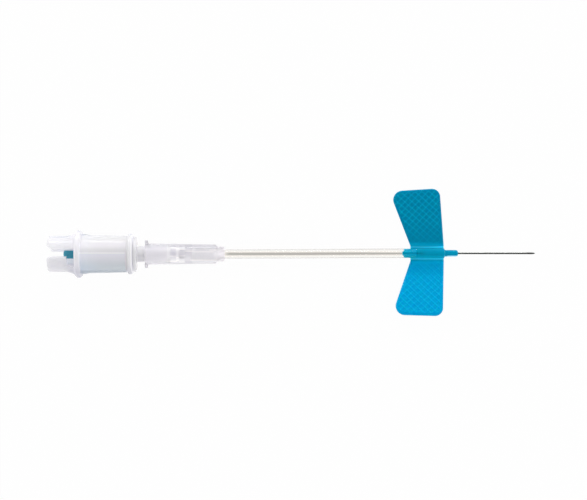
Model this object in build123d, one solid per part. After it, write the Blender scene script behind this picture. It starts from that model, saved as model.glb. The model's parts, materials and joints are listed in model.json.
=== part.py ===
from build123d import *
from math import atan2, cos, degrees, radians, sin, tan
import os

# Butterfly needle lying on a table, in millimetres, +Z up.
# +X runs from the blood collection adapter to the needle's tip. The origin is the middle
# of the bounding box, on the table.

# General fits
fit = 0.02                 # radial gap of every pressed, bonded or taper joint
margin = 1.0               # how far a cutter runs past the face that it opens

# Adapter housing, along its own axis from the collar's open end
collar_diameter = 9.9
collar_bore = 7.6
collar_length = 7.49       # open end to the flange's front face
collar_edge = 0.35
flare_edge = 0.4
flare_length = 1.9         # cone that widens the collar into the flange
flare_height = 0.8
flare_radius = 7.0
flange_diameter = 13.13
flange_thickness = 1.66
flange_edge = 0.4
rear_flare_length = 2.1    # cone that widens the body into the flange
rear_flare_height = 0.35
body_length = 12.63        # flange's rear face to the rear ring
body_front_diameter = 10.6
body_rear_diameter = 10.16
ring_diameter = 11.23
ring_thickness = 1.41
ring_edge = 0.35
web_depth = 4.5            # flange's front face to the front of the inner web
web_thickness = 1.0
web_hole = 3.6
plug_diameter = 7.9

# Bayonet slots, two of them opposite each other
slot_width = 2.1           # along the collar's outer circumference
slot_clocking = 2.85       # degrees that the housing is turned about its axis
pocket_width = 2.55        # turn pocket beside each slot's inner end
pocket_length = 2.15
lead_width = 1.15          # slanted entry on the side away from the pocket
lead_length = 1.8
corner_radius = 0.8        # rounded entry on the pocket's side

# Adapter core: plug, end disc and male luer cone
disc_diameter = 9.74
disc_thickness = 0.96
disc_edge = 0.15
luer_taper = 0.06          # change of diameter per length
male_length = 8.65         # end disc to the cone's tip
male_tip_diameter = 3.93
male_tip_edge = 0.25
neck_foot = 0.3            # bevel where the cone leaves the end disc
male_lumen = 1.5
male_lumen_depth = 6.8
boss_diameter = 1.7        # holds the valve sleeve's open end
boss_length = 2.5
boss_edge = 0.15

# Rear cannula and the rubber valve sleeve over it
rear_cannula_diameter = 0.9
rear_cannula_bore = 0.6
rear_bevel = 15.0
sleeve_depth = 4.11        # collar's open end to the sleeve's domed tip
sleeve_diameter = 2.51
sleeve_bore = 1.3
sleeve_tip_wall = 0.75
sleeve_tip_radius = 0.85
sleeve_tip_room = 0.25     # between the cannula's point and the sleeve's inside
sleeve_bead_diameter = 3.2
sleeve_bead_length = 0.8
sleeve_bead_edge = 0.2

# Female luer hub on the tubing
hub_gap = 2.33             # end disc to the hub's open end
hub_length = 22.05
hub_front_diameter = 5.94
hub_rear_diameter = 5.27
hub_neck_diameter = 4.12
hub_neck_length = 1.94
hub_neck_chamfer = 0.6
hub_neck_edge = 0.3
luer_depth = 8.55
funnel_length = 0.87
funnel_diameter = 1.9
hub_lumen = 1.2
hub_lumen_length = 1.5
throat_diameter = 0.8      # narrow ring in the lumen, a stop for the mould's core pin
throat_length = 0.25
outlet_diameter = 1.4      # where the lumen meets the tubing's bore
socket_depth = 9.23        # how far the tubing is pushed into the hub
lug_diameter = 7.74
lug_width = 3.4
lug_land = 0.65
lug_slope = 0.6

# Tubing
tube_diameter = 2.6
tube_bore = 1.5
tube_dip_run = 17.5        # straight on from the hub's socket before it bends to the table
tube_middle = (5.0, -0.47, 2.34)
tube_table_run = 15.0      # level run before the wing hub

# Wing moulding, along the needle's axis
spigot_length = 5.19       # inside the tubing
spigot_edge = 0.5
wing_hub_diameter = 2.8
wing_hub_length = 6.57
wing_hub_edge = 0.12
nose_diameter = 1.85
nose_length = 3.87
nose_edge = 0.65
nose_foot = 0.25
cannula_height = 1.6       # needle's axis above the table
web_height = 0.45          # thin hinge between the hub and each wing
hinge_half_width = 1.85    # needle's axis to each wing's root
cradle_length = 2.8        # part of the hinge that runs on beside the tubing
wing_thickness = 1.0
wing_edge = 0.28
root_overlap = 0.12
root_front = 4.71          # from the middle of the root towards the needle's tip
root_rear = 4.5
tip_front = 4.15
tip_rear = 9.95
front_span = 16.3          # root to the tip's edge, at its front and rear corners
rear_span = 16.1
front_corner = 2.3
rear_corner = 2.6
upper_rise = 5.0           # degrees that the +Y wing stands up from the table
lower_rise = 16.0          # the same for the -Y wing
upper_splay = 2.8          # degrees that the +Y wing is bent towards the tubing
lower_splay = 0.85         # the same for the -Y wing

# Needle
cannula_diameter = 0.64
cannula_bore = 0.34
cannula_free_length = 21.74
cannula_recess = 0.4       # from the spigot's end to the cannula's blunt end
bevel_angle = 11.7
lancet_angle = 7.0
lancet_turn = 32.0

# Where the two stiff ends lie on the table
needle_tip_x = 67.9
needle_y = -0.34
adapter_y = -0.54
collar_end_x = -67.6

# Stations along the adapter's axis
flange_front = collar_length
flange_rear = flange_front + flange_thickness
ring_front = flange_rear + body_length
ring_rear = ring_front + ring_thickness
disc_rear = ring_rear + disc_thickness
web_front = flange_front + web_depth
plug_front = web_front + web_thickness
male_tip = disc_rear + male_length
hub_front = disc_rear + hub_gap
hub_rear = hub_front + hub_length
socket_floor = hub_rear - socket_depth
lumen_floor = male_tip - male_lumen_depth

# Stations along X on the needle's side
nose_tip_x = needle_tip_x - cannula_free_length
wing_hub_front_x = nose_tip_x - nose_length
wing_hub_rear_x = wing_hub_front_x - wing_hub_length
spigot_end_x = wing_hub_rear_x - spigot_length
cradle_rear_x = wing_hub_rear_x - cradle_length
root_middle_x = wing_hub_front_x - root_front


def table_contact():
    """Lean of the adapter in degrees and height of its axis at the collar's open end.

    It lies on two corners, where the rims of the flange and of the rear ring meet the
    bevels on their rear sides.
    """
    flange_x, flange_r = flange_rear - flange_edge, flange_diameter / 2
    ring_x, ring_r = ring_rear - ring_edge, ring_diameter / 2
    lean = atan2(flange_r - ring_r, ring_x - flange_x)
    return degrees(lean), flange_x * sin(lean) + flange_r * cos(lean)


lean, collar_end_z = table_contact()
adapter_place = Pos(collar_end_x, adapter_y, collar_end_z) * Rot(0, lean, 0)
needle_place = Pos(0, needle_y, cannula_height)


def on_adapter_axis(station):
    """Point on the adapter's axis, in the row's frame."""
    run = radians(lean)
    return (collar_end_x + station * cos(run), adapter_y, collar_end_z - station * sin(run))


def turned(*corners):
    """Solid turned about X. A corner is x and diameter, and then its bevel, or 0 and its radius."""
    profile = make_face(Polyline(*[(x, diameter / 2) for x, diameter, *_ in corners], close=True))
    for x, diameter, *edge in corners:
        if edge:
            corner = profile.vertices().sort_by_distance((x, diameter / 2))[0]
            profile = fillet(corner, edge[1]) if edge[0] == 0 else chamfer(corner, edge[0])
    return revolve(profile, Axis.X)


def rod(diameter, start, end):
    """Cylinder along X from one station to another."""
    return turned((start, 0), (start, diameter), (end, diameter), (end, 0))


def sector(low, high, start, end):
    """Wedge about X between two angles, in degrees from +Z towards +Y."""
    reach = flange_diameter
    low_point = (0, reach * sin(radians(low)), reach * cos(radians(low)))
    high_point = (0, reach * sin(radians(high)), reach * cos(radians(high)))
    face = make_face(Polyline((0, 0, 0), low_point, high_point, close=True))
    return Pos(start, 0, 0) * extrude(face, end - start, dir=(1, 0, 0))


def bayonet_cutter():
    """One slot from the collar's open end, with its turn pocket, lead-in and rounded corner."""
    per_degree = radians(collar_diameter / 2)
    half_slot = slot_width / 2 / per_degree
    low, high = slot_clocking - half_slot, slot_clocking + half_slot
    slot = sector(low, high, -margin, flange_front)
    pocket = sector(low - pocket_width / per_degree, low, flange_front - pocket_length, flange_front)

    slant = Polyline((-margin, 0), (-margin, lead_width * (1 + margin / lead_length)),
                     (lead_length, 0), close=True)
    lead_in = extrude(make_face(slant), flange_diameter / 2)
    lead_in = Rot(-high, 0, 0) * lead_in

    square = Polyline((-margin, 0), (-margin, -corner_radius), (0, -corner_radius),
                      (corner_radius, 0), close=True)
    round_off = make_face(square) - Pos(corner_radius, -corner_radius) * Circle(corner_radius)
    rounded_entry = Rot(-low, 0, 0) * extrude(round_off, flange_diameter / 2)
    return slot + pocket + lead_in + rounded_entry


def adapter_housing():
    """Slotted collar, flange, body and rear ring, open right through."""
    flare_start = flange_front - flare_length
    flare_end_diameter = collar_diameter + 2 * flare_height
    flange_foot_diameter = body_front_diameter + 2 * rear_flare_height
    shell = turned(
        (0, collar_bore),
        (0, collar_diameter, collar_edge),
        (flare_start, collar_diameter, 0, flare_radius),
        (flange_front, flare_end_diameter, flare_edge),
        (flange_front, flange_diameter, flange_edge),
        (flange_rear, flange_diameter, flange_edge),
        (flange_rear, flange_foot_diameter),
        (flange_rear + rear_flare_length, body_front_diameter),
        (ring_front, body_rear_diameter),
        (ring_front, ring_diameter, ring_edge),
        (ring_rear, ring_diameter, ring_edge),
        (ring_rear, plug_diameter),
        (plug_front, plug_diameter),
        (plug_front, web_hole),
        (web_front, web_hole),
        (web_front, collar_bore),
    )
    near = bayonet_cutter()
    far = Rot(180, 0, 0) * near
    return shell - near - far


def adapter_core():
    """Plug that closes the housing, with the sleeve's boss in front and the male luer behind."""
    male_base_diameter = male_tip_diameter + luer_taper * male_length
    hole = rear_cannula_diameter + 2 * fit
    plug = plug_diameter - 2 * fit
    return turned(
        (plug_front - boss_length, hole),
        (plug_front - boss_length, boss_diameter, boss_edge),
        (plug_front, boss_diameter),
        (plug_front, plug),
        (ring_rear, plug),
        (ring_rear, disc_diameter, disc_edge),
        (disc_rear, disc_diameter, disc_edge),
        (disc_rear, male_base_diameter, neck_foot),
        (male_tip, male_tip_diameter, male_tip_edge),
        (male_tip, male_lumen),
        (lumen_floor, male_lumen),
        (lumen_floor, hole),
    )


def bevelled_tube(diameter, bore, start, end, angle):
    """Hollow cannula whose end at `start` is ground at an angle, with the face upwards."""
    tube = rod(diameter, start, end) - rod(bore, start - margin, end + margin)
    heel = Plane(origin=(start, 0, -diameter / 2), z_dir=(sin(radians(angle)), 0, -cos(radians(angle))))
    return split(tube, bisect_by=heel, keep=Keep.TOP)


def rear_cannula():
    """Needle that pierces the collection tube's cap, from the sleeve's tip into the male luer."""
    point = sleeve_depth + sleeve_tip_wall + sleeve_tip_room
    return bevelled_tube(rear_cannula_diameter, rear_cannula_bore, point, lumen_floor, rear_bevel)


def valve_sleeve():
    """Rubber sleeve closed by a dome, its open end stretched over the core's boss."""
    bead_front = plug_front - sleeve_bead_length
    cavity = sleeve_depth + sleeve_tip_wall
    seat = plug_front - boss_length - fit
    return turned(
        (sleeve_depth, 0),
        (sleeve_depth, sleeve_diameter, 0, sleeve_tip_radius),
        (bead_front, sleeve_diameter),
        (bead_front, sleeve_bead_diameter, sleeve_bead_edge),
        (plug_front, sleeve_bead_diameter),
        (plug_front, boss_diameter + 2 * fit),
        (seat, boss_diameter + 2 * fit),
        (seat, sleeve_bore),
        (cavity, sleeve_bore),
        (cavity, 0),
    )


def luer_lugs():
    """Two lugs on the hub's open end that a luer lock's thread would grip."""
    skirt = turned(
        (hub_front, hub_front_diameter - 1),
        (hub_front, lug_diameter),
        (hub_front + lug_land, lug_diameter),
        (hub_front + lug_land + lug_slope, hub_front_diameter - 1),
    )
    return skirt & Pos(hub_front, 0, 0) * Box(hub_length, lug_diameter, lug_width)


def luer_hub():
    """Clear female luer hub with a socket for the tubing."""
    mouth = male_tip_diameter + luer_taper * (male_tip - hub_front) + 2 * fit
    throat = mouth - luer_taper * luer_depth
    neck_x = hub_rear - hub_neck_length
    luer_end = hub_front + luer_depth
    throat_x = luer_end + funnel_length + hub_lumen_length
    outside = turned(
        (hub_front, 0),
        (hub_front, hub_front_diameter),
        (neck_x - hub_neck_chamfer, hub_rear_diameter),
        (neck_x, hub_neck_diameter),
        (hub_rear, hub_neck_diameter, hub_neck_edge),
        (hub_rear, 0),
    )
    inside = turned(
        (hub_front - margin, 0),
        (hub_front - margin, mouth + luer_taper * margin),
        (luer_end, throat),
        (luer_end + funnel_length, funnel_diameter),
        (luer_end + funnel_length, hub_lumen),
        (throat_x, hub_lumen),
        (throat_x, throat_diameter),
        (throat_x + throat_length, throat_diameter),
        (socket_floor, outlet_diameter),
        (socket_floor, tube_diameter + 2 * fit),
        (hub_rear + margin, tube_diameter + 2 * fit),
        (hub_rear + margin, 0),
    )
    return outside + luer_lugs() - inside


def tube_route():
    """Corners of the tubing's centre line, from the socket's floor to the wing hub's shoulder."""
    return [
        on_adapter_axis(socket_floor),
        on_adapter_axis(socket_floor + tube_dip_run),
        tube_middle,
        (wing_hub_rear_x - tube_table_run, needle_y, cannula_height),
        (wing_hub_rear_x, needle_y, cannula_height),
    ]


def route_radii(points):
    """Largest arc that each corner's two runs leave room for."""
    vectors = [Vector(b) - Vector(a) for a, b in zip(points, points[1:])]
    return [
        0.45 * min(before.length, after.length) / tan(radians(before.get_angle(after)) / 2)
        for before, after in zip(vectors, vectors[1:])
    ]


def tubing():
    """Clear tube along the route, bored for the wing moulding's spigot."""
    points = tube_route()
    radii = route_radii(points)
    print("tube radii, mm:", [round(radius) for radius in radii])
    path = FilletPolyline(*points, radius=radii)
    section = Plane(origin=path @ 0, z_dir=path % 0) * (Circle(tube_diameter / 2) - Circle(tube_bore / 2))
    tube = sweep(section, path=path)
    print("tube length, mm:", round(path.length, 2))
    print("volume ratio:", round(tube.volume / section.area / path.length, 6))
    return tube


def wing_plate(rise, splay):
    """One wing, hinged up about the lower edge of its root."""
    outline = FilletPolyline(
        (-root_rear, 0), (root_front, 0), (tip_front, front_span), (-tip_rear, rear_span),
        radius=[0, 0, front_corner, rear_corner], close=True,
    )
    plate = extrude(make_face(outline), wing_thickness)
    faces = plate.faces().sort_by(Axis.Z)
    rims = (faces[0].edges() + faces[-1].edges()).filter_by(lambda edge: edge.center().Y > wing_edge)
    plate = chamfer(rims, wing_edge)
    hinge = Pos(root_middle_x, hinge_half_width, -cannula_height)
    return hinge * Rot(0, 0, splay) * Rot(rise, 0, 0) * plate


def hinge_base():
    """Thin flat web under the hub, with a trough where the tubing lies on it."""
    length = wing_hub_front_x - cradle_rear_x
    width = 2 * (hinge_half_width + root_overlap)
    middle_z = web_height / 2 - cannula_height
    web = Pos((wing_hub_front_x + cradle_rear_x) / 2, 0, middle_z) * Box(length, width, web_height)
    return web - rod(tube_diameter + 2 * fit, cradle_rear_x - margin, wing_hub_rear_x)


def wing_moulding():
    """Hub, nose, tubing spigot and two hinged wings, moulded as one."""
    hub = turned(
        (spigot_end_x, 0),
        (spigot_end_x, tube_bore - 2 * fit, 0, spigot_edge),
        (wing_hub_rear_x, tube_bore - 2 * fit),
        (wing_hub_rear_x, wing_hub_diameter),
        (wing_hub_front_x, wing_hub_diameter, wing_hub_edge),
        (wing_hub_front_x, nose_diameter, nose_foot),
        (nose_tip_x, nose_diameter, 0, nose_edge),
        (nose_tip_x, 0),
    )
    upper = wing_plate(upper_rise, upper_splay)
    lower = mirror(wing_plate(lower_rise, lower_splay), about=Plane.XZ)
    bore = rod(cannula_diameter + 2 * fit, spigot_end_x - margin, needle_tip_x)
    return hub + hinge_base() + upper + lower - bore


def needle_cannula():
    """Hollow steel needle with a three-facet lancet point, its bevel upwards."""
    start = spigot_end_x + cannula_recess
    tube = rod(cannula_diameter, start, needle_tip_x)
    tube -= rod(cannula_bore, start - margin, needle_tip_x + margin)
    slope = radians(bevel_angle)
    bevel = Plane(origin=(needle_tip_x, 0, -cannula_diameter / 2), z_dir=(-sin(slope), 0, -cos(slope)))
    needle = split(tube, bisect_by=bevel, keep=Keep.TOP)
    steep = radians(bevel_angle + lancet_angle)
    for turn in (radians(-lancet_turn), radians(lancet_turn)):
        into_tube = (-sin(steep), cos(steep) * sin(turn), -cos(steep) * cos(turn))
        facet = Plane(origin=(needle_tip_x, 0, -cannula_diameter / 2), z_dir=into_tube)
        needle = split(needle, bisect_by=facet, keep=Keep.TOP)
    return needle


def export(solid, name):
    """Write one piece as parts/NAME.step."""
    solid.label = name
    export_step(solid, f"parts/{name}.step")


os.makedirs("parts", exist_ok=True)
export(adapter_place * adapter_housing(), "adapter_housing")
export(adapter_place * adapter_core(), "adapter_core")
export(adapter_place * rear_cannula(), "rear_cannula")
export(adapter_place * valve_sleeve(), "valve_sleeve")
export(adapter_place * luer_hub(), "luer_hub")
export(tubing(), "tubing")
export(needle_place * wing_moulding(), "wing_moulding")
export(needle_place * needle_cannula(), "needle_cannula")
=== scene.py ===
import json
import math

import bmesh
import bpy
from mathutils import Matrix, Vector


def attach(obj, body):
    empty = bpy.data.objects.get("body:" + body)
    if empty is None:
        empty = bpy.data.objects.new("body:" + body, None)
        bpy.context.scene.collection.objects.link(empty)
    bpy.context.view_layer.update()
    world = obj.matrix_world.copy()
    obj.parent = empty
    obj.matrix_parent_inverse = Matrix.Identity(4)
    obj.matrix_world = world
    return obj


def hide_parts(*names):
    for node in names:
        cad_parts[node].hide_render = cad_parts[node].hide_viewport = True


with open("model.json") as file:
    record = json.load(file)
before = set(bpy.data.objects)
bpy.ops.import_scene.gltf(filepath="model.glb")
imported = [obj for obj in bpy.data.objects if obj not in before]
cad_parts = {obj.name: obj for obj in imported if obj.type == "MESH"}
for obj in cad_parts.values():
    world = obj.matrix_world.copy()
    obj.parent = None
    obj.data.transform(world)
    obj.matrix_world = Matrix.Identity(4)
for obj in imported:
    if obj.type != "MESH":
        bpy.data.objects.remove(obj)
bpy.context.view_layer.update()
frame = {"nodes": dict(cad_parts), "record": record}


# The table and the light. The needle set lies on white paper in a light tent, whose far side
# (+Y) is lit by a soft lamp. The camera looks straight down through a hole in the tent's roof.
mm = 0.001


class Value:
    """A socket in a node tree. Sums on it, in plain Python, add Math nodes to that tree."""

    def __init__(self, graph, socket):
        self.graph, self.socket = graph, socket

    def sum(self, operation, *values):
        return self.graph.node("ShaderNodeMath", {"operation": operation}, dict(enumerate(values)))

    def __add__(self, other):
        return self.sum("ADD", self, other)

    def __sub__(self, other):
        return self.sum("SUBTRACT", self, other)

    def __rsub__(self, other):
        return self.sum("SUBTRACT", other, self)

    def __mul__(self, other):
        return self.sum("MULTIPLY", self, other)

    def __truediv__(self, other):
        return self.sum("DIVIDE", self, other)

    def __rtruediv__(self, other):
        return self.sum("DIVIDE", other, self)

    def __pow__(self, other):
        return self.sum("POWER", self, other)

    def __lt__(self, other):
        return self.sum("LESS_THAN", self, other)

    def __abs__(self):
        return self.sum("ABSOLUTE", self)

    def most(self, other):
        return self.sum("MAXIMUM", self, other)

    def least(self, other):
        return self.sum("MINIMUM", self, other)

    def fraction(self):
        return self.sum("FRACT", self)

    def part(self, output):
        """Another output of the same node."""
        return Value(self.graph, self.socket.node.outputs[output])

    __radd__, __rmul__ = __add__, __mul__


class Graph:
    """A node tree. Every node in it comes from node()."""

    def __init__(self, tree):
        self.tree = tree

    def node(self, kind, settings=None, inputs=None, output=0):
        made = self.tree.nodes.new(kind)
        for name, value in (settings or {}).items():
            setattr(made, name, value)
        for key, value in (inputs or {}).items():
            if isinstance(value, Value):
                self.tree.links.new(value.socket, made.inputs[key])
            else:
                made.inputs[key].default_value = value
        return Value(self, made.outputs[output])

    def mix(self, share, first, second):
        """Colour that goes from the first to the second."""
        inputs = {0: share, 6: first, 7: second}
        return self.node("ShaderNodeMix", {"data_type": "RGBA"}, inputs, output=2)

    def layered(self, colour, *layers):
        """A colour with others laid over it in turn, each by its own share."""
        for share, over in layers:
            colour = self.mix(share, colour, over)
        return colour

    def ramp(self, value, low, high):
        """0 at low, 1 at high and smooth between. Low may be the larger."""
        settings = {"interpolation_type": "SMOOTHSTEP"}
        return self.node("ShaderNodeMapRange", settings, {"Value": value, "From Min": low, "From Max": high})

    def between(self, value, low, high, soft=0.06 * mm):
        """1 from low to high, with soft ends."""
        return self.ramp(value, low - soft, low + soft) * self.ramp(value, high + soft, high - soft)

    def place(self):
        """Object coordinates in metres, as a vector and as its three parts."""
        vector = self.node("ShaderNodeTexCoord", output="Object")
        split = self.node("ShaderNodeSeparateXYZ", inputs={0: vector})
        return vector, split.part("X"), split.part("Y"), split.part("Z")

    def noise(self, vector, size, detail=2.0):
        """Cloudy pattern from 0 to 1 whose patches are about size metres across."""
        inputs = {"Vector": vector, "Scale": 1 / size, "Detail": detail}
        return self.node("ShaderNodeTexNoise", inputs=inputs)

    def bumps(self, strength, depth, pattern):
        """A normal that a pattern moves, with bumps of some metres' depth."""
        inputs = {"Strength": strength, "Distance": depth, "Height": pattern}
        return self.node("ShaderNodeBump", inputs=inputs)


def finish_of(name, constants):
    """A new material, its graph, and a function that feeds its shader's sockets."""
    material = bpy.data.materials.new(name)
    material.use_nodes = True
    graph = Graph(material.node_tree)
    shader = material.node_tree.nodes["Principled BSDF"]
    for socket, value in constants.items():
        shader.inputs[socket].default_value = value

    def feed(socket, value):
        material.node_tree.links.new(value.socket, shader.inputs[socket])

    return material, graph, feed


half_table = 3.0
table = bpy.data.objects.new("table", bpy.data.meshes.new("table"))
corners = [(x * half_table, y * half_table, 0) for x, y in ((-1, -1), (1, -1), (1, 1), (-1, 1))]
table.data.from_pydata(corners, [], [(0, 1, 2, 3)])
bpy.context.scene.collection.objects.link(table)

# Most of the paper's white is its own light, so the object's shadow on it stays faint. Seen through
# the tubing, that light is dimmed along the tube's line: a painted shadow of the tube, which gives
# the tube's dark middle.
own_white, shade_depth = 0.975, 0.49
tube_line = -0.47 * mm
paper = bpy.data.materials.new("paper")
paper.use_nodes = True
paper.node_tree.nodes.clear()
graph = Graph(paper.node_tree)
seen = graph.node("ShaderNodeLightPath", output="Is Camera Ray")
through = seen.part("Is Transmission Ray")
seen = seen.most(seen.part("Is Glossy Ray")).most(through) * own_white
place, along, across, up = graph.place()
half_width = 0.9 * mm - along * 0.014
shade = graph.ramp(abs(across - tube_line) / half_width, 1.5, 0.5) * graph.ramp(along, -20 * mm, -18 * mm)
paper_tone = graph.mix(graph.noise(place, 0.6 * mm), (0.90, 0.90, 0.90, 1), (0.94, 0.94, 0.94, 1))
paper_lit = graph.node("ShaderNodeBsdfDiffuse", inputs={"Color": paper_tone})
paper_white = graph.node("ShaderNodeEmission", inputs={
    "Color": (1, 1, 1, 1),
    "Strength": 1 - through * shade * shade_depth,
})
paper_shown = graph.node("ShaderNodeMixShader", inputs={0: seen, 1: paper_lit, 2: paper_white})
paper_output = paper.node_tree.nodes.new("ShaderNodeOutputMaterial")
paper.node_tree.links.new(paper_shown.socket, paper_output.inputs["Surface"])
table.data.materials.append(paper)

near_light, far_light, roof_loss = 0.88, 0.26, 0.88
tent = bpy.data.worlds.new("tent")
tent.use_nodes = True
bpy.context.scene.world = tent
graph = Graph(tent.node_tree)
direction = graph.node("ShaderNodeTexCoord", output="Generated")
height = graph.node("ShaderNodeSeparateXYZ", inputs={0: direction}, output="Z")
roof_hole = graph.ramp(height, 0.80, 0.93)
far_side = graph.ramp(height.part("Y"), -0.8, 0.8)
camera_ray = graph.node("ShaderNodeLightPath", output="Is Camera Ray")
tent_light = (1 - roof_hole * roof_loss) * (near_light + far_side * far_light)
tent_strength = camera_ray + (1 - camera_ray) * tent_light
background = tent.node_tree.nodes["Background"]
background.inputs["Color"].default_value = (1.0, 1.0, 1.0, 1)
tent.node_tree.links.new(tent_strength.socket, background.inputs["Strength"])

lamp = bpy.data.objects.new("far_lamp", bpy.data.lights.new("far_lamp", "AREA"))
lamp.data.shape = "RECTANGLE"
lamp.data.size, lamp.data.size_y = 1.0, 0.06
lamp.data.energy = 1.1
lamp.data.color = (1.0, 1.0, 1.0)
lamp_place = Vector((-0.05, 0.60, 0.08))
lamp_aim = (-lamp_place).to_track_quat("-Z", "Y").to_matrix().to_4x4()
lamp.matrix_world = Matrix.Translation(lamp_place) @ lamp_aim
bpy.context.scene.collection.objects.link(lamp)

camera = bpy.data.objects.new("camera", bpy.data.cameras.new("camera"))
camera.data.sensor_width = 36.0
camera.data.lens = 73.96
camera.data.clip_start = 0.01
camera.location = (0.0, 0.586 * mm, 340 * mm)
bpy.context.scene.collection.objects.link(camera)
bpy.context.scene.camera = camera
bpy.context.scene.view_settings.view_transform = "Standard"


# The adapter's two mouldings, of white polypropylene that lets a little light through: the
# slotted housing, and the core that is pressed into it and carries the male luer cone.
def dress(node, material):
    """Gives a CAD piece a material in the slots that it has."""
    for slot in frame["nodes"][node].material_slots:
        slot.material = material


mouth = next(m for m in frame["record"]["mounts"] if m["name"] == "collar_socket")
(mouth_x, mouth_y, mouth_z), (lean_x, _, lean_z) = mouth["pos_m"], mouth["axis"]


def from_leaning_axis(along, across, up):
    """Height over the adapter's axis, which leans, and the distance from that axis."""
    above = (along - mouth_x) * lean_z - (up - mouth_z) * lean_x
    return above, (above ** 2 + (across - mouth_y) ** 2) ** 0.5


white, graph, feed = finish_of("white_polypropylene", {
    "IOR": 1.49,
    "Subsurface Weight": 1.0,
    "Subsurface Radius": (1.0, 1.0, 1.05),
    "Subsurface Scale": 3 * mm,
    "Emission Strength": 1.0,
})
place, along, across, up = graph.place()
clouds = graph.noise(place, 4 * mm)
shrink = graph.noise(place, 1.2 * mm, 3.0)

# Where a point is: on the collar and flange, the body, the rear ring or the core behind it.
on_front = graph.ramp(along, -58.0 * mm, -58.5 * mm)
on_body = graph.ramp(along, -58.5 * mm, -58.0 * mm) * graph.ramp(along, -45.9 * mm, -46.2 * mm)
on_housing = graph.ramp(along, -44.3 * mm, -44.7 * mm)
on_ring = graph.ramp(along, -46.2 * mm, -45.9 * mm) * on_housing
on_flange = graph.ramp(along, -63.0 * mm, -60.5 * mm) * on_front
above_axis, from_axis = from_leaning_axis(along, across, up)
in_collar = graph.ramp(from_axis, 4.5 * mm, 3.9 * mm) * graph.ramp(along, -58.0 * mm, -59.0 * mm)

# Painted shade: the near half is darker and bluer, the collar, flange and prongs are a little
# darker, and the parts darken towards the outline.
near_half = graph.ramp(across, -0.22 * mm, -0.34 * mm) * 0.35 + graph.ramp(across, -1.0 * mm, -4.5 * mm) * 0.65
far_part = graph.ramp(across, 3 * mm, 5 * mm) * (1 - on_body * 0.5) * graph.ramp(along, -45 * mm, -47 * mm)
near_part = graph.ramp(across, -2.0 * mm, -6.2 * mm) * (on_ring + on_flange)
prong_reach, flange_rise, ring_drop = 4.44 * mm, 1.66 * mm, 1.0 * mm
outline = graph.ramp(along, -62.5 * mm, -59.7 * mm) * flange_rise + prong_reach - on_ring * ring_drop
far_edge = graph.ramp(across - outline, -0.8 * mm, -0.1 * mm) * (on_ring + on_front)
body_edges = (graph.ramp(across, 4.45 * mm, 4.9 * mm) + graph.ramp(across, -4.6 * mm, -5.5 * mm)) * on_body
feed("Base Color", graph.layered(
    graph.mix(clouds, (0.885, 0.873, 0.957, 1), (0.915, 0.898, 0.977, 1)),
    (on_body * near_half, (0.72, 0.79, 0.90, 1)),
    (far_part, (0.80, 0.80, 0.87, 1)),
    (on_front * 0.8, (0.86, 0.83, 0.90, 1)),
    (near_part, (0.67, 0.665, 0.74, 1)),
    (far_edge, (0.62, 0.64, 0.71, 1)),
    (body_edges, (0.48, 0.54, 0.61, 1)),
))

# Painted light, as emission that stands for light inside the plastic: a faint glow everywhere, a
# broad painted band of light on each side of the body, bright lines on the parting line and on the
# joint between housing and core, and painted light inside the collar.
parting_line_glow = graph.ramp(abs(across + 0.25 * mm), 0.20 * mm, 0.10 * mm) * on_body
core_joint_glow = graph.ramp(abs(along + 44.4 * mm), 0.3 * mm, 0.1 * mm)
far_glow_band = graph.ramp(across, 0.4 * mm, 1.8 * mm) * graph.ramp(across, 3.2 * mm, 1.8 * mm)
near_glow_band = graph.ramp(across, -0.30 * mm, -0.36 * mm) * graph.ramp(across, -3.4 * mm, -0.6 * mm)
feed("Emission Color", graph.layered(
    (0.008, 0.008, 0.010, 1),
    ((far_glow_band + near_glow_band).least(1) * on_body, (0.064, 0.055, 0.075, 1)),
    (parting_line_glow, (0.15, 0.15, 0.15, 1)),
    (core_joint_glow, (0.12, 0.12, 0.13, 1)),
    (in_collar, (0.135, 0.14, 0.138, 1)),
))
feed("Roughness", 0.10 + shrink * 0.08)
feed("Normal", graph.bumps(0.35, 0.02 * mm, shrink))
dress("adapter_housing", white)
dress("adapter_core", white)


# The valve sleeve, a thimble of teal rubber over the rear needle.
# The cap of a collection tube folds the sleeve back, and the rubber closes again by itself.
rubber, graph, feed = finish_of("teal_rubber", {"IOR": 1.45, "Specular IOR Level": 0.35})
place, along, across, up = graph.place()
bloom = graph.noise(place, 0.9 * mm, 4.0)
feed("Base Color", graph.mix(bloom, (0.055, 0.37, 0.49, 1), (0.085, 0.44, 0.57, 1)))
feed("Roughness", 0.5 + bloom * 0.2)
feed("Normal", graph.bumps(0.5, 0.03 * mm, bloom))
dress("valve_sleeve", rubber)


# The luer hub, a clear moulding bonded to the tubing. It is pushed on the adapter's male cone,
# whose end shows through its wall.
hub_mouth = 26.48 * mm
clear, graph, feed = finish_of("clear_moulding", {
    "IOR": 1.5,
    "Transmission Weight": 0.70,
    "Emission Strength": 1.0,
})
place, along, across, up = graph.place()
flow = graph.noise(place, 2.5 * mm)
from_mouth = (mouth_x - along) * lean_x + (mouth_z - up) * lean_z - hub_mouth
above_axis, from_axis = from_leaning_axis(along, across, up)
aside = across - mouth_y
inside_wall = graph.ramp(from_axis, 1.75 * mm, 1.65 * mm)
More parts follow.
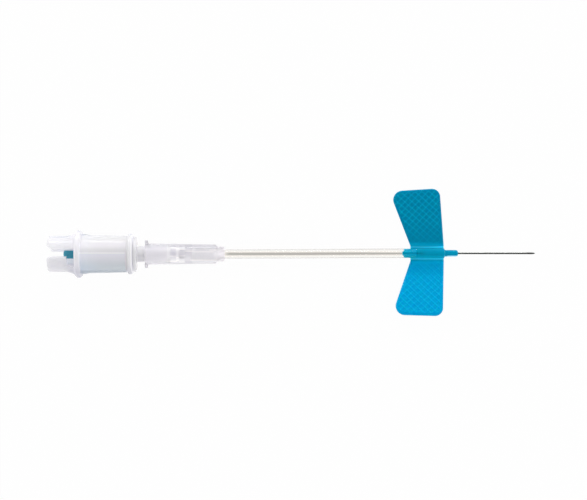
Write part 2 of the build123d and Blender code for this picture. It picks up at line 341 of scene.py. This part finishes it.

# Painted shade and light inside the wall, at stations along the hub from its mouth: two dark
# blocks with a collar between them, a clear gap, and the dark line of the bore up to the tubing's
# end, with brighter painted lines on the collar and in the gap.
in_blocks = graph.between(from_mouth, 7.15 * mm, 8.60 * mm) + graph.between(from_mouth, 9.60 * mm, 10.90 * mm)
in_collar = graph.between(from_mouth, 8.68 * mm, 9.34 * mm)
in_gap = graph.between(from_mouth, 10.95 * mm, 13.0 * mm)
in_bore = graph.between(from_mouth, 12.9 * mm, 18.8 * mm)
bore_sides = graph.between(aside, 0.5 * mm, 0.8 * mm) + graph.between(aside, -0.7 * mm, -0.1 * mm) * 0.3
inner_shade = in_blocks * (1 - graph.between(aside, -0.75 * mm, -0.40 * mm) * 0.8) + in_collar * 0.35
inner_shade = inner_shade + in_bore * bore_sides
inner_glow = in_collar * (0.35 + 0.65 * graph.ramp(abs(aside), 0.6 * mm, 1.2 * mm))
inner_glow = inner_glow + graph.between(from_mouth, 11.15 * mm, 11.45 * mm) * 0.5
inner_glow = inner_glow + graph.between(from_mouth, 12.5 * mm, 12.9 * mm) * 0.4

# Painted shade at the outer wall's flanks, where the light crosses more of it, and beside the
# blocks and over the gap; the far flank is darker.
flank_shade = graph.ramp(aside, 1.2 * mm, 2.2 * mm) + graph.ramp(aside, -1.8 * mm, -2.7 * mm)
flank_shade = flank_shade * (0.5 + 0.5 * graph.ramp(from_mouth, 6 * mm, 8 * mm))
beside_blocks = in_blocks * graph.between(abs(aside), 0.85 * mm, 1.5 * mm)
flank_shade = (flank_shade + beside_blocks * 0.45 + in_gap * 0.5).least(1)
flank_shade_tone = graph.mix(
    graph.ramp(aside, -0.5 * mm, 0.5 * mm), (0.81, 0.80, 0.85, 1), (0.66, 0.65, 0.71, 1))
feed("Base Color", graph.layered(
    graph.mix(flow, (0.97, 0.96, 0.98, 1), (0.985, 0.975, 0.99, 1)),
    (flank_shade, flank_shade_tone),
    ((inner_shade * inside_wall).least(1), (0.45, 0.44, 0.54, 1)),
))

# Painted glints: thin bright lines on the top of the wall. They stand for the edges of inner
# steps that the photograph shows and the mesh doesn't have.
half_glint = 0.10 * mm
glints = [  # first and last station, and place aside, in millimetres
    (6.9, 8.7, 1.72), (6.9, 8.7, -0.55), (6.0, 8.9, -2.0),
    (8.7, 9.4, 1.55), (8.7, 9.4, -1.0), (8.7, 9.4, -1.7),
    (9.4, 11.1, 1.35), (9.6, 11.1, -0.45), (9.4, 11.0, -2.2),
    (11.1, 13.4, 0.80), (13.4, 19.0, 0.62), (17.8, 19.6, 1.1), (12.5, 19.8, -1.65),
]
on_glint = sum(
    graph.between(from_mouth, first * mm, last * mm)
    * graph.between(aside, side * mm - half_glint, side * mm + half_glint)
    for first, last, side in glints
)
top_wall = graph.ramp(from_axis, 1.9 * mm, 2.1 * mm) * graph.ramp(above_axis, 0.2 * mm, 0.4 * mm)
# Painted light, as emission: a faint glow everywhere, less on the flanks, more at the hub's end by the tubing and at a
# ring near its mouth, and the painted bright lines and glints.
feed("Emission Color", graph.layered(
    (0.080, 0.078, 0.084, 1),
    (flank_shade, (0.01, 0.01, 0.01, 1)),
    (graph.ramp(along, -22.2 * mm, -20.8 * mm), (0.125, 0.116, 0.120, 1)),
    (graph.between(from_mouth, 6.1 * mm, 6.9 * mm), (0.13, 0.13, 0.13, 1)),
    ((inner_glow * inside_wall).least(1), (0.25, 0.235, 0.20, 1)),
    ((on_glint * top_wall).least(1), (0.215, 0.20, 0.17, 1)),
))
feed("Roughness", 0.02 + flow * 0.04)

# The hollow for the cone's end, and the clear ring that fills the CAD hub's plain bore round it:
# stations from the hub's mouth and radii, in millimetres.
core_pin = [
    (6.2, 0.1), (6.2, 1.95), (6.8, 1.94), (7.15, 0.80), (8.65, 0.80), (8.70, 1.50), (9.30, 1.50), (9.35, 0.95),
    (10.95, 0.95), (11.1, 0.70), (11.9, 0.30), (12.8, 0.75), (12.9, 0.75), (12.9, 0.1),
]
filling = [(6.35, 0.2), (6.35, 2.2), (12.80, 2.0), (12.80, 0.2)]
adapter_lean = Matrix.Rotation(math.asin(lean_z), 4, "Y")
adapter_place = Matrix.Translation((mouth_x, mouth_y, mouth_z)) @ adapter_lean
hub_place = adapter_place @ Matrix.Translation((hub_mouth, 0, 0))


def turned(name, profile, place, sides=64):
    """A ring turned round the X axis of a place, from its stations and radii in millimetres."""
    points, faces = [], []
    for station, radius in profile:
        for k in range(sides):
            turn = 2 * math.pi * k / sides
            points.append((station * mm, radius * mm * math.cos(turn), radius * mm * math.sin(turn)))
    for i in range(len(profile)):
        a, b = i * sides, (i + 1) % len(profile) * sides
        for k in range(sides):
            n = (k + 1) % sides
            faces.append((a + k, a + n, b + n, b + k))
    mesh = bpy.data.meshes.new(name)
    mesh.from_pydata(points, [], faces)
    mesh.transform(place)
    solid = bpy.data.objects.new(name, mesh)
    bpy.context.scene.collection.objects.link(solid)
    return solid


def plain_mesh(piece):
    """What a piece's modifiers make of it, as a mesh."""
    return bpy.data.meshes.new_from_object(piece.evaluated_get(bpy.context.evaluated_depsgraph_get()))


def smooth_but_edges(mesh):
    """Smooth shading that keeps the edges sharper than 35 degrees."""
    mesh.shade_smooth()
    mesh.set_sharp_from_angle(angle=math.radians(35))


def joined_copy(node, name, material, parts):
    """A CAD piece's copy, made one mesh with each part added or cut away in turn."""
    mesh = frame["nodes"][node].data.copy()
    merged = bmesh.new()
    merged.from_mesh(mesh)
    bmesh.ops.remove_doubles(merged, verts=merged.verts, dist=0.0005 * mm)
    merged.to_mesh(mesh)
    merged.free()
    mesh.materials.clear()
    mesh.materials.append(material)
    piece = bpy.data.objects.new(name, mesh)
    bpy.context.scene.collection.objects.link(piece)
    for operation, part in parts:
        joint = piece.modifiers.new(operation.lower(), "BOOLEAN")
        joint.operation, joint.solver, joint.object = operation, "MANIFOLD", part
    mesh = plain_mesh(piece)
    piece.modifiers.clear()
    piece.data = mesh
    for _, part in parts:
        bpy.data.objects.remove(part)
    smooth_but_edges(mesh)
    return piece


hub = joined_copy("luer_hub", "clear_hub", clear, [
    ("UNION", turned("filling", filling, hub_place)),
    ("DIFFERENCE", turned("core_pin", core_pin, hub_place)),
])
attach(hub, "root")
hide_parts("luer_hub")


# The tubing, soft clear vinyl with a real bore. It is bonded into the luer hub, falls in one easy
# bend to the table and is pushed over the spigot of the wing moulding.
tube_diameter, tube_bore = 2.6 * mm, 1.5 * mm
spigot_diameter, grip = 2.4 * mm, 0.16 * mm  # the tube's wall overlaps the spigot by the grip
full_spigot = 32.8 * mm  # from here on the spigot has its full width
route = [
    (-0.028389, -0.00054, 0.004495),
    (-0.010929, -0.00054, 0.003318),
    (0.005, -0.00047, 0.00234),
    (0.02072, -0.00034, 0.0016),
    (0.03572, -0.00034, 0.0016),
]
curve = bpy.data.curves.new("tube_line", "CURVE")
curve.dimensions = "3D"
curve.resolution_u = 24
spline = curve.splines.new("NURBS")
spline.points.add(len(route) - 1)
for point, (x, y, z) in zip(spline.points, route):
    point.co = (x, y, z, 1)
spline.order_u = 3
spline.use_endpoint_u = True
curve_object = bpy.data.objects.new("tube_line", curve)
centre_line = [v.co.copy() for v in bpy.data.meshes.new_from_object(curve_object).vertices]
bpy.data.objects.remove(curve_object)


def sleeve_along(path, outer, bore, sides):
    """Points and faces of a round tube that follows a path. Its bore may change along X."""
    points, faces = [], []
    ring = 2 * sides
    for i, here in enumerate(path):
        ahead = (path[min(i + 1, len(path) - 1)] - path[max(i - 1, 0)]).normalized()
        side = Vector((0, 0, 1)).cross(ahead).normalized()
        top = ahead.cross(side)
        for radius in (outer / 2, bore(here.x) / 2):
            for k in range(sides):
                turn = 2 * math.pi * k / sides
                points.append(here + radius * (math.sin(turn) * side + math.cos(turn) * top))
    last = (len(path) - 1) * ring
    for k in range(sides):
        n = (k + 1) % sides
        for a in range(0, last, ring):
            b = a + ring
            faces.append((a + k, b + k, b + n, a + n))
            faces.append((a + sides + n, b + sides + n, b + sides + k, a + sides + k))
        faces.append((k, n, sides + n, sides + k))
        faces.append((last + n, last + k, last + sides + k, last + sides + n))
    return points, faces


def stretched_bore(x):
    """The bore, which grips the spigot without a gap."""
    return spigot_diameter - grip if x > full_spigot else tube_bore


tube_points = centre_line[:-1] + [centre_line[-1] + Vector((grip, 0, 0))]
points, faces = sleeve_along(tube_points, tube_diameter, stretched_bore, 64)
tube_mesh = bpy.data.meshes.new("tube")
tube_mesh.from_pydata(points, [], faces)
tube_mesh.shade_smooth()
tube = bpy.data.objects.new("tube", tube_mesh)
bpy.context.scene.collection.objects.link(tube)

vinyl, graph, feed = finish_of("clear_vinyl", {
    "IOR": 1.52,
    "Specular Tint": (0.1, 0.1, 0.1, 1),
    "Transmission Weight": 1.0,
})
place, along, across, up = graph.place()
haze = graph.noise(place, 6 * mm)
feed("Base Color", graph.mix(haze, (0.97, 0.95, 0.915, 1), (0.985, 0.97, 0.945, 1)))
feed("Roughness", 0.03 + haze * 0.05)
tube_mesh.materials.append(vinyl)
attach(tube, "root")
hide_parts("tubing")


# The wing moulding, of soft blue vinyl: a hub and nose round the needle, the spigot in the
# tubing, and two wings on thin hinges that a nurse folds up to hold the needle.
needle_axis = Vector(next(m["pos_m"] for m in frame["record"]["mounts"] if m["name"] == "nose"))
hub_rear, hub_front, hub_radius = 35.72 * mm, 42.29 * mm, 1.40 * mm
root_middle, hinge_half_width = 37.58 * mm, 1.85 * mm
root_rear, root_front = 4.5 * mm, 4.71 * mm
tip_rear, tip_front = 9.95 * mm, 4.15 * mm
rear_span, front_span = 16.1 * mm, 16.3 * mm
rear_corner, front_corner = 2.6 * mm, 2.3 * mm
wing_thickness = 1.0 * mm
web_rear, web_top = 32.95 * mm, 0.85 * mm
wings = {1: (5.0, 2.8), -1: (16.0, 0.85)}  # side: rise and splay in degrees

blue, graph, feed = finish_of("blue_vinyl", {
    "IOR": 1.46,
    "Specular IOR Level": 0.3,
    "Specular Tint": (0.0, 0.6, 0.9, 1),
    "Subsurface Weight": 1.0,
    "Subsurface Radius": (0.05, 0.8, 1.0),
    "Subsurface Scale": 0.9 * mm,
    "Emission Strength": 1.0,
})
place, along, across, up = graph.place()
mottle = graph.noise(place, 1.6 * mm, 3.0)
# Painted light and shade: the upper wing is darker and the lower wing lighter, the lattice's raised lines are lighter
# as a painted highlight, the thin vinyl is paler, partly its own colour and partly painted light through it, and a
# painted shade lies over the needle in the hub.
raised = graph.node("ShaderNodeAttribute", {"attribute_name": "raised"}, output="Fac")
thin = graph.node("ShaderNodeAttribute", {"attribute_name": "thin"}, output="Fac")
lit_lower_wing = graph.ramp(across, -1.6 * mm, -3.0 * mm)
shaded_upper_wing = graph.ramp(across, 1.2 * mm, 2.2 * mm)
needle_shade = graph.ramp(abs(across + 0.34 * mm), 0.35 * mm, 0.10 * mm) * graph.ramp(along, 36.8 * mm, 35.5 * mm)
feed("Base Color", graph.layered(
    graph.mix(mottle, (0.0010, 0.34, 0.53, 1), (0.0014, 0.38, 0.58, 1)),
    (shaded_upper_wing, (0.0010, 0.305, 0.50, 1)),
    (lit_lower_wing, graph.mix(mottle, (0.0012, 0.41, 0.72, 1), (0.0016, 0.45, 0.78, 1))),
    (raised * 0.38, (0.004, 0.62, 0.92, 1)),
    (thin, (0.03, 0.80, 1.0, 1)),
    (needle_shade * 0.35, (0.001, 0.12, 0.17, 1)),
))

# Painted light, as emission that stands for light through the vinyl where it is thin: the spigot,
# the wings' roots and the hinges; it also draws the bright line along the near side of the nose.
reach = ((across + 0.34 * mm) ** 2 + (up - 1.6 * mm) ** 2) ** 0.5
in_tubing = graph.ramp(reach, 1.30 * mm, 1.24 * mm) * graph.ramp(along, 35.80 * mm, 35.70 * mm)
upper_root = graph.ramp(across, 1.65 * mm, 1.90 * mm) * graph.ramp(across, 3.1 * mm, 2.0 * mm)
lower_root = graph.ramp(across, -0.6 * mm, -1.4 * mm) * graph.ramp(across, -3.8 * mm, -2.6 * mm)
beside = abs(across + 0.24 * mm)
hinges = graph.ramp(beside, 1.36 * mm, 1.46 * mm) * graph.ramp(beside, 2.02 * mm, 1.90 * mm)
hinges = hinges * graph.ramp(up, 1.35 * mm, 1.15 * mm)
hinges = hinges * graph.ramp(along, 32.7 * mm, 33.0 * mm) * graph.ramp(along, 42.4 * mm, 42.1 * mm)
nose_glow = graph.ramp(across, -0.88 * mm, -1.12 * mm)
nose_glow = nose_glow * graph.ramp(along, 42.8 * mm, 43.4 * mm) * graph.ramp(along, 46.2 * mm, 45.8 * mm)
feed("Emission Color", graph.layered(
    (0, 0, 0, 1),
    (in_tubing, (0, 0.065, 0.14, 1)),
    (upper_root, (0, 0.125, 0.19, 1)),
    (lower_root, (0, 0.075, 0.085, 1)),
    (hinges, (0.016, 0.228, 0.295, 1)),
    (nose_glow, (0.30, 0.42, 0.46, 1)),
))
feed("Roughness", 0.38 + mottle * 0.14)
feed("Normal", graph.bumps(0.4, 0.02 * mm, mottle))

# The lattice on a wing, as a closed sheet: a grid in the wing's outline, lifted along two sets of
# crossing lines and thickened downwards into the wing.
relief = bpy.data.node_groups.new("wing_relief", "GeometryNodeTree")
relief.interface.new_socket("Geometry", in_out="OUTPUT", socket_type="NodeSocketGeometry")
relief_inputs = {
    "Lattice Along": 1.94 * mm,
    "Lattice Across": 1.85 * mm,
    "Line Width": 0.38 * mm,
    "Line Height": 0.060 * mm,
    "Node Height": 0.045 * mm,
    "Grid Pitch": 0.10 * mm,
    "Edge": 0.33 * mm,
}
relief_keys = {
    name: relief.interface.new_socket(name, in_out="INPUT", socket_type="NodeSocketFloat").identifier
    for name in relief_inputs
}
shape = Graph(relief)
size = {name: shape.node("NodeGroupInput", output=name) for name in relief_inputs}
sheet_width, sheet_length = tip_rear + root_front, front_span
sheet = shape.node("GeometryNodeMeshGrid", inputs={
    "Size X": sheet_width, "Size Y": sheet_length,
    "Vertices X": sheet_width / size["Grid Pitch"], "Vertices Y": sheet_length / size["Grid Pitch"],
})
spot = shape.node("ShaderNodeSeparateXYZ", inputs={0: shape.node("GeometryNodeInputPosition")})
x = spot + (root_front - tip_rear) / 2
y = spot.part("Y") + sheet_length / 2


def inside(first, second, radius):
    """Distance from the nearer of two edges whose corner is rounded."""
    a, b = (radius - first).most(0), (radius - second).most(0)
    return first.least(second).least(radius - (a * a + b * b) ** 0.5)


front_lean = math.atan2(root_front - tip_front, front_span)
rear_lean = math.atan2(tip_rear - root_rear, rear_span)
tip_slope = (front_span - rear_span) / (tip_front + tip_rear)
from_front = (root_front - y * math.tan(front_lean) - x) * math.cos(front_lean)
from_rear = (x + root_rear + y * math.tan(rear_lean)) * math.cos(rear_lean)
from_tip = (x - tip_front) * tip_slope + front_span - y
front_reach = front_corner * (1 - math.sin(front_lean))
rear_reach = rear_corner * (1 + math.sin(rear_lean))
depth = inside(from_front, from_tip, front_reach).least(inside(from_rear, from_tip, rear_reach))


def lattice_line(count):
    """1 on the lattice's lines and 0 in its cells. Lines lie where the count is a whole number."""
    spacing = 1 / ((1 / size["Lattice Along"]) ** 2 + (1 / size["Lattice Across"]) ** 2) ** 0.5
    away = abs((count + 0.5).fraction() - 0.5) * spacing
    return 1 - shape.ramp(away, size["Line Width"] * 0.2, size["Line Width"] * 0.8)


steps_x, steps_y = x / size["Lattice Along"], y / size["Lattice Across"]
rising, falling = lattice_line(steps_x + steps_y), lattice_line(steps_x - steps_y)
strength = shape.ramp(y, 0.5 * mm, 9 * mm) * 0.7 + 0.3
fade = shape.ramp(depth, size["Edge"] + 0.1 * mm, size["Edge"] + 0.4 * mm) * shape.ramp(y, 0.6 * mm, 1.2 * mm)
lift = rising.most(falling) * size["Line Height"] + rising * falling * size["Node Height"]
sink, skin, sheet_depth = 0.03 * mm, 0.004 * mm, 0.3 * mm
trimmed = shape.node("GeometryNodeDeleteGeometry", inputs={"Geometry": sheet, "Selection": depth < size["Edge"]})
lifted = shape.node("GeometryNodeSetPosition", inputs={
    "Geometry": trimmed,
    "Position": shape.node("ShaderNodeCombineXYZ", inputs={
        "X": x, "Y": y, "Z": wing_thickness - sink + fade * (lift * strength + sink + skin),
    }),
})
base = shape.node("GeometryNodeExtrudeMesh", inputs={
    "Mesh": lifted, "Offset": shape.node("ShaderNodeCombineXYZ", inputs={"Z": -sheet_depth}),
    "Offset Scale": 1.0, "Individual": False,
})
both = shape.node("GeometryNodeJoinGeometry", inputs={0: lifted})
flipped = shape.node("GeometryNodeFlipFaces", inputs={0: base})
relief.links.new(flipped.socket, both.socket.node.inputs[0])
closed = shape.node("GeometryNodeMergeByDistance", inputs={"Geometry": both, "Distance": 0.001 * mm})
real = shape.node("GeometryNodeRealizeInstances", inputs={0: closed})
done = shape.node("GeometryNodeSetMaterial", inputs={"Geometry": real, "Material": blue})
relief_output = relief.nodes.new("NodeGroupOutput")
relief.links.new(done.socket, relief_output.inputs[0])

added, placements = [], {}
for side, (rise, splay) in wings.items():
    patch = bpy.data.objects.new("relief_patch", bpy.data.meshes.new("relief_patch"))
    bpy.context.scene.collection.objects.link(patch)
    grown = patch.modifiers.new("relief", "NODES")
    grown.node_group = relief
    for name, value in relief_inputs.items():
        grown[relief_keys[name]] = value
    mesh = plain_mesh(patch)
    patch.modifiers.clear()
    hinge = Matrix.Translation((root_middle, needle_axis.y, 0)) @ Matrix.Diagonal((1, side, 1, 1))
    turn = Matrix.Rotation(math.radians(splay), 4, "Z") @ Matrix.Rotation(math.radians(rise), 4, "X")
    placements[side] = hinge @ Matrix.Translation((0, hinge_half_width, 0)) @ turn
    mesh.transform(placements[side])
    if side < 0:
        mesh.flip_normals()
    patch.data = mesh
    added.append(patch)


def hinge_strip(side):
    """A plain strip beside the hub, for the fillet that closes the hinge's groove."""
    front, inner, outer, bottom = hub_front - 0.05 * mm, 1.32 * mm, 1.95 * mm, 0.3 * mm
    width = Vector((front - web_rear, outer - inner, web_top - bottom))
    middle = Vector((
        (front + web_rear) / 2,
        needle_axis.y + side * (inner + outer) / 2,
        (bottom + web_top) / 2,
    ))
    box = bmesh.new()
    bmesh.ops.create_cube(box, size=1)
    for vertex in box.verts:
        vertex.co = middle + vertex.co * width
    strip = bpy.data.objects.new("hinge_strip", bpy.data.meshes.new("hinge_strip"))
    box.to_mesh(strip.data)
    box.free()
    strip.data.materials.append(blue)
    bpy.context.scene.collection.objects.link(strip)
    return strip


added += [hinge_strip(side) for side in wings]
spigot = [  # stations along X and radii, in millimetres
    (30.55, 0.45), (30.55, 0.50), (30.65, 0.62), (30.90, 0.75), (31.2, 0.86), (31.6, 0.98), (32.1, 1.09), (32.7, 1.17),
    (33.3, 1.20), (34.3, 1.20), (34.7, 1.33), (35.9, 1.38), (35.9, 0.45),
]
added.append(turned("spigot", spigot, Matrix.Translation((0, needle_axis.y, needle_axis.z))))
wing = joined_copy("wing_moulding", "wings_and_hub", blue, [("UNION", part) for part in added])

# Two values at each point for the material: how far it is raised, and how pale the thin vinyl
# is, partly its own colour and partly painted light through it.
hinge_paleness, spigot_paleness = 0.7, 0.5
full_height = relief_inputs["Line Height"] + relief_inputs["Node Height"]
raised = wing.data.attributes.new("raised", "FLOAT", "POINT")
thin = wing.data.attributes.new("thin", "FLOAT", "POINT")
for vertex, height, paleness in zip(wing.data.vertices, raised.data, thin.data):
    side = 1 if vertex.co.y > needle_axis.y else -1
    own = placements[side].inverted() @ vertex.co
    height.value = min(max((own.z - wing_thickness) / full_height, 0), 1) if own.y > 0 else 0
    reach = (vertex.co - needle_axis).yz.length
    in_tubing = vertex.co.x < hub_rear + 0.01 * mm and reach < spigot_diameter / 2 + 0.05 * mm
    in_hinge = reach > 0.9 * hub_radius and own.y < 0.05 * mm and vertex.co.z < web_top + 0.01 * mm
    paleness.value = hinge_paleness if in_hinge else spigot_paleness if in_tubing else 0
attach(wing, "root")
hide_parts("wing_moulding")


# The needle and the rear cannula, drawn stainless steel tube. Each is ground to a point and
# glued into its moulding.
steel, graph, feed = finish_of("stainless_steel", {"Metallic": 1.0})
place, along, across, up = graph.place()
drawn = graph.node("ShaderNodeMapping", inputs={"Vector": place, "Scale": (0.02, 1.0, 1.0)})
scratches = graph.noise(drawn, 0.06 * mm, 3.0)
# The dark line along the top stands for the hole in the tent's roof, mirrored by a polished needle.
dark_middle = graph.ramp(abs(across + 0.35 * mm), 0.23 * mm, 0.16 * mm)
feed("Base Color", graph.layered(
    graph.mix(scratches, (0.74, 0.75, 0.74, 1), (0.84, 0.85, 0.84, 1)),
    (dark_middle, (0.042, 0.047, 0.042, 1)),
))
feed("Roughness", 0.20 + scratches * 0.15)
dress("needle_cannula", steel)
dress("rear_cannula", steel)
